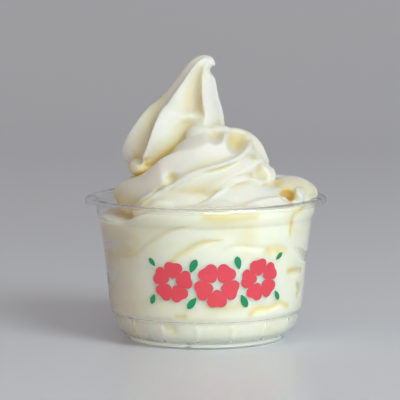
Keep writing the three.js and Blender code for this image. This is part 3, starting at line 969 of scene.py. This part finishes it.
def seen(seen_from, across, height):
    """Where a place on the upright plane through the axis is seen on the turns, and the line of sight."""
    turn = Matrix.Rotation(math.radians(seen_from - FRONT), 3, "Z")
    eye = turn @ camera_at
    sight = (turn @ (Vector((across, 0.0, height)) * MM) - eye).normalized()
    return surface_tree.ray_cast(eye, sight)[0], sight


STROKE_STEP = 0.4
marks = []
strokes = [(FRONT, *stroke) for stroke in FRONT_STROKES]
strokes += [(RIGHT, *stroke) for stroke in RIGHT_STROKES]
for seen_from, gold, points in strokes:
    points = np.array(points, float)
    run = np.concatenate([[0], np.cumsum(np.linalg.norm(np.diff(points[:, :2], axis=0), axis=1))])
    steps = np.linspace(0, run[-1], int(run[-1] / STROKE_STEP) + 2)
    hits, sizes = [], []
    for across, height, half_width, rise in along(np.column_stack([run, points]), steps):
        spot, sight = seen(seen_from, across, height)
        if spot is not None:
            hits.append(np.array(spot) / MM)
            sizes.append((half_width, rise))
    if hits:
        marks.append((np.array(hits), *np.array(sizes).T, gold))
STROKE_EDGE = 2.4  # where a stroke has faded out, in half-widths


def nearest_on(hits, half_widths, co):
    """The vertices near a stroke, how close each is, from 1 on its line to 0, and its nearest point."""
    edge = STROKE_EDGE * half_widths.max()
    near = np.all((co > hits.min(0) - edge) & (co < hits.max(0) + edge), axis=1).nonzero()[0]
    distance = np.linalg.norm(co[near][:, None] - hits[None], axis=2) / np.maximum(half_widths, 0.05)
    closest = distance.argmin(1)
    return near, np.exp(-distance[np.arange(len(near)), closest] ** 2), closest


shift = np.zeros_like(co)
for hits, half_widths, rises, gold in marks:
    near, close, closest = nearest_on(hits, half_widths, co)
    shift[near] += normals[near] * (rises[closest] * close)[:, None]
co += shift
dishes = []
for across, height, half_width, half_height, depth, lean, gold in SCOOPS:
    spot, sight = seen(FRONT, across, height)
    if spot is None:
        continue
    side = sight.cross(Vector((0, 0, 1))).normalized()
    up = side.cross(sight)
    c, s = math.cos(math.radians(lean)), math.sin(math.radians(lean))
    wide, tall = side * c + up * s, up * c - side * s
    axes = np.stack([np.array(wide) / half_width, np.array(tall) / half_height, np.array(sight)], 1)
    dishes.append((np.array(spot) / MM, axes, depth, gold))
DISH_REACH = 14  # how far before and behind its middle a scoop finds the skin
DISH_RIM = 0.9  # share of a dish over which its rim is eased
DISH_TINT_FROM = -3  # how far before its middle its colour starts


def in_dish(spot, axes, co):
    """For each point, 1 at the middle of a dish to 0 at its rim and outside, and its depth behind it."""
    u, v, back = ((co - spot) @ axes).T
    return np.where(np.abs(back) < DISH_REACH, np.clip(1 - u**2 - v**2, 0, 1), 0), back


for spot, axes, depth, gold in dishes:
    level, back = in_dish(spot, axes, co)
    sight = axes[:, 2]
    level = np.where(normals @ sight < 0.2, level, 0)
    soft = np.clip(level / DISH_RIM, 0, 1)
    soft = soft**2 * (3 - 2 * soft)
    gain = np.maximum(np.sqrt(level) * depth - back, 0) * soft
    co += gain[:, None] * sight[None, :]
move_points(into_ribs(pressed_in(co)))

# The carving has stretched the skin, so it is made even again, and then thinned.
TRIANGLES = 190000
deselect_all()
yogurt.select_set(True)
bpy.context.view_layer.objects.active = yogurt
run_together(1)
thin = yogurt.modifiers.new("thin", "DECIMATE")
thin.ratio = min(1.0, TRIANGLES / (2 * len(yogurt.data.polygons)))
bpy.ops.object.modifier_apply(modifier="thin")
bpy.ops.object.shade_smooth()

# How shut in each point is by the folds round it, found by rays sent out from it and kept as an
# attribute that the colour reads: it paints shade into the folds, darker and yellower the more shut in a
# point is.
mesh = yogurt.data
count = len(mesh.vertices)
co = read_points("co") / MM
normals = read_points("normal")
tree = BVHTree.FromPolygons([Vector(p) for p in co], [tuple(face.vertices) for face in mesh.polygons])
RAYS = 24
FOLD_REACH = 16.0
OFF_THE_SKIN = 0.25
k = np.arange(RAYS) + 0.5
polar, around_it = np.arccos(1 - 2 * k / RAYS), np.pi * (1 + 5**0.5) * k
ball = np.stack([np.cos(around_it) * np.sin(polar), np.sin(around_it) * np.sin(polar), np.cos(polar)], 1)
shut = np.zeros(count)
starts = co + normals * OFF_THE_SKIN
for ray in ball * 0.98:
    directions = normals + ray
    directions /= np.linalg.norm(directions, axis=1)[:, None]
    for v in range(count):
        distance = tree.ray_cast(starts[v], directions[v], FOLD_REACH)[3]
        if distance is not None:
            shut[v] += 1 - distance / FOLD_REACH
shut /= RAYS
edges = np.empty(len(mesh.edges) * 2, np.int32)
mesh.edges.foreach_get("vertices", edges)
edges = edges.reshape(-1, 2)
degree = np.maximum(np.bincount(edges.ravel(), minlength=count), 1)


def mean_round(values):
    """For each vertex, the mean of the vertices that share an edge with it."""
    total = np.bincount(edges[:, 0], values[edges[:, 1]], count)
    total += np.bincount(edges[:, 1], values[edges[:, 0]], count)
    return total / degree


SHUT_ROUNDS, CREASE_ROUNDS = 6, 24
for step in range(SHUT_ROUNDS):
    shut = 0.4 * shut + 0.6 * mean_round(shut)
# How far a point lies below the smoothed skin is how deep it is in a narrow crease.
smooth = co.copy()
for step in range(CREASE_ROUNDS):
    mean = np.stack([mean_round(smooth[:, axis]) for axis in range(3)], 1)
    smooth += 0.7 * (mean - smooth)
crease = np.clip(((smooth - co) * normals).sum(1), -1, 1.5)
# The strokes and the scoops bring their own yellow, which is painted shade in the folds, creases and
# hollows and the yellow patches against the wall, or their white where it is less than 0, which takes
# painted shade away.
yellow = np.zeros(count)
for hits, half_widths, rises, gold in marks:
    near, close, closest = nearest_on(hits, half_widths, co)
    stronger = np.abs(yellow[near]) > abs(gold) * close
    yellow[near] = np.where(stronger, yellow[near], gold * close)
for spot, axes, depth, gold in dishes:
    level, back = in_dish(spot, axes, co)
    yellow += np.where(back > DISH_TINT_FROM, gold * np.clip(level / 0.4, 0, 1), 0)
for name, values in (("shut_in", shut), ("crease", crease), ("yellow", yellow)):
    kept = mesh.attributes.new(name, "FLOAT", "POINT")
    kept.data.foreach_set("value", values.astype(np.float32))

cream, nodes = new_material("soft frozen yogurt")
place = nodes.out(nodes("ShaderNodeTexCoord"), "Object")
shut_in, crease, yellow = (
    nodes.out(nodes("ShaderNodeAttribute", {"attribute_name": name}), "Fac")
    for name in ("shut_in", "crease", "yellow")
)
height = nodes.out(nodes("ShaderNodeSeparateXYZ", Vector=place), "Z")
cloud = nodes.noise(place, Scale=38.0, Detail=3.0)
# painted shade: the more shut in or creased a point is, the darker and yellower its colour
painted_fold_shade = ((shut_in - 0.085) * 1.9 + crease * 0.36 + (cloud - 0.5) * 0.14).clamped()
# below the lip the air is pressed out in patches, which are yellower
in_cup = ((0.057 - height) * 400.0).clamped()
drawn = nodes("ShaderNodeMapping", Vector=place)
drawn.inputs["Scale"].default_value = (1.0, 1.0, 1.7)
drawn.inputs["Rotation"].default_value = (0.0, 0.35, 0.0)
patches = nodes.noise(nodes.out(drawn), Scale=58.0, Detail=1.0, Distortion=0.6)
patches = ((patches - 0.52) * 4.0).clamped() * in_cup
# cream in the open, darkening to tan gold for the painted shade in the folds
CREAM_TO_GOLD = [
    (0.0, (0.93, 0.935, 0.89, 1)), (0.35, (0.87, 0.835, 0.675, 1)), (0.7, (0.84, 0.735, 0.43, 1)),
    (1.0, (0.82, 0.62, 0.23, 1)),
]
# the yellow marks add painted shade, and in_cup * 0.06 is painted shade that makes the filling under the lip
# a little darker and yellower
gold = (painted_fold_shade + yellow + patches * 0.2 + in_cup * 0.06).clamped()
tint = nodes("ShaderNodeValToRGB", {"stops": CREAM_TO_GOLD}, Fac=gold)
# painted light: the lowest part of the filling, inside the clear standing ring, glows a little so that the
# ring looks bright
in_ring = ((0.0027 - height) * 1000.0).clamped()
ring_painted_light = nodes("ShaderNodeMix", {"data_type": "RGBA"}, _0=in_ring, _6=(0, 0, 0, 1), _7=(0.17, 0.18, 0.16, 1))
grain = nodes.noise(place, Scale=900.0, Detail=2.0)
bump = nodes("ShaderNodeBump", Strength=0.12, Distance=0.0002, Height=grain)
# its emission is the painted light inside the standing ring
shader = nodes(
    "ShaderNodeBsdfPrincipled", Base_Color=nodes.out(tint), Roughness=0.42, IOR=1.36,
    Subsurface_Weight=0.9, Subsurface_Scale=0.004, Subsurface_Radius=(1.0, 0.75, 0.4),
    Emission_Color=nodes.out(ring_painted_light, 2), Emission_Strength=1.0, Normal=nodes.out(bump),
)
surface(nodes, shader)
yogurt.data.materials.clear()
yogurt.data.materials.append(cream)
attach(yogurt, "root")
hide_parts("frozen_yogurt")
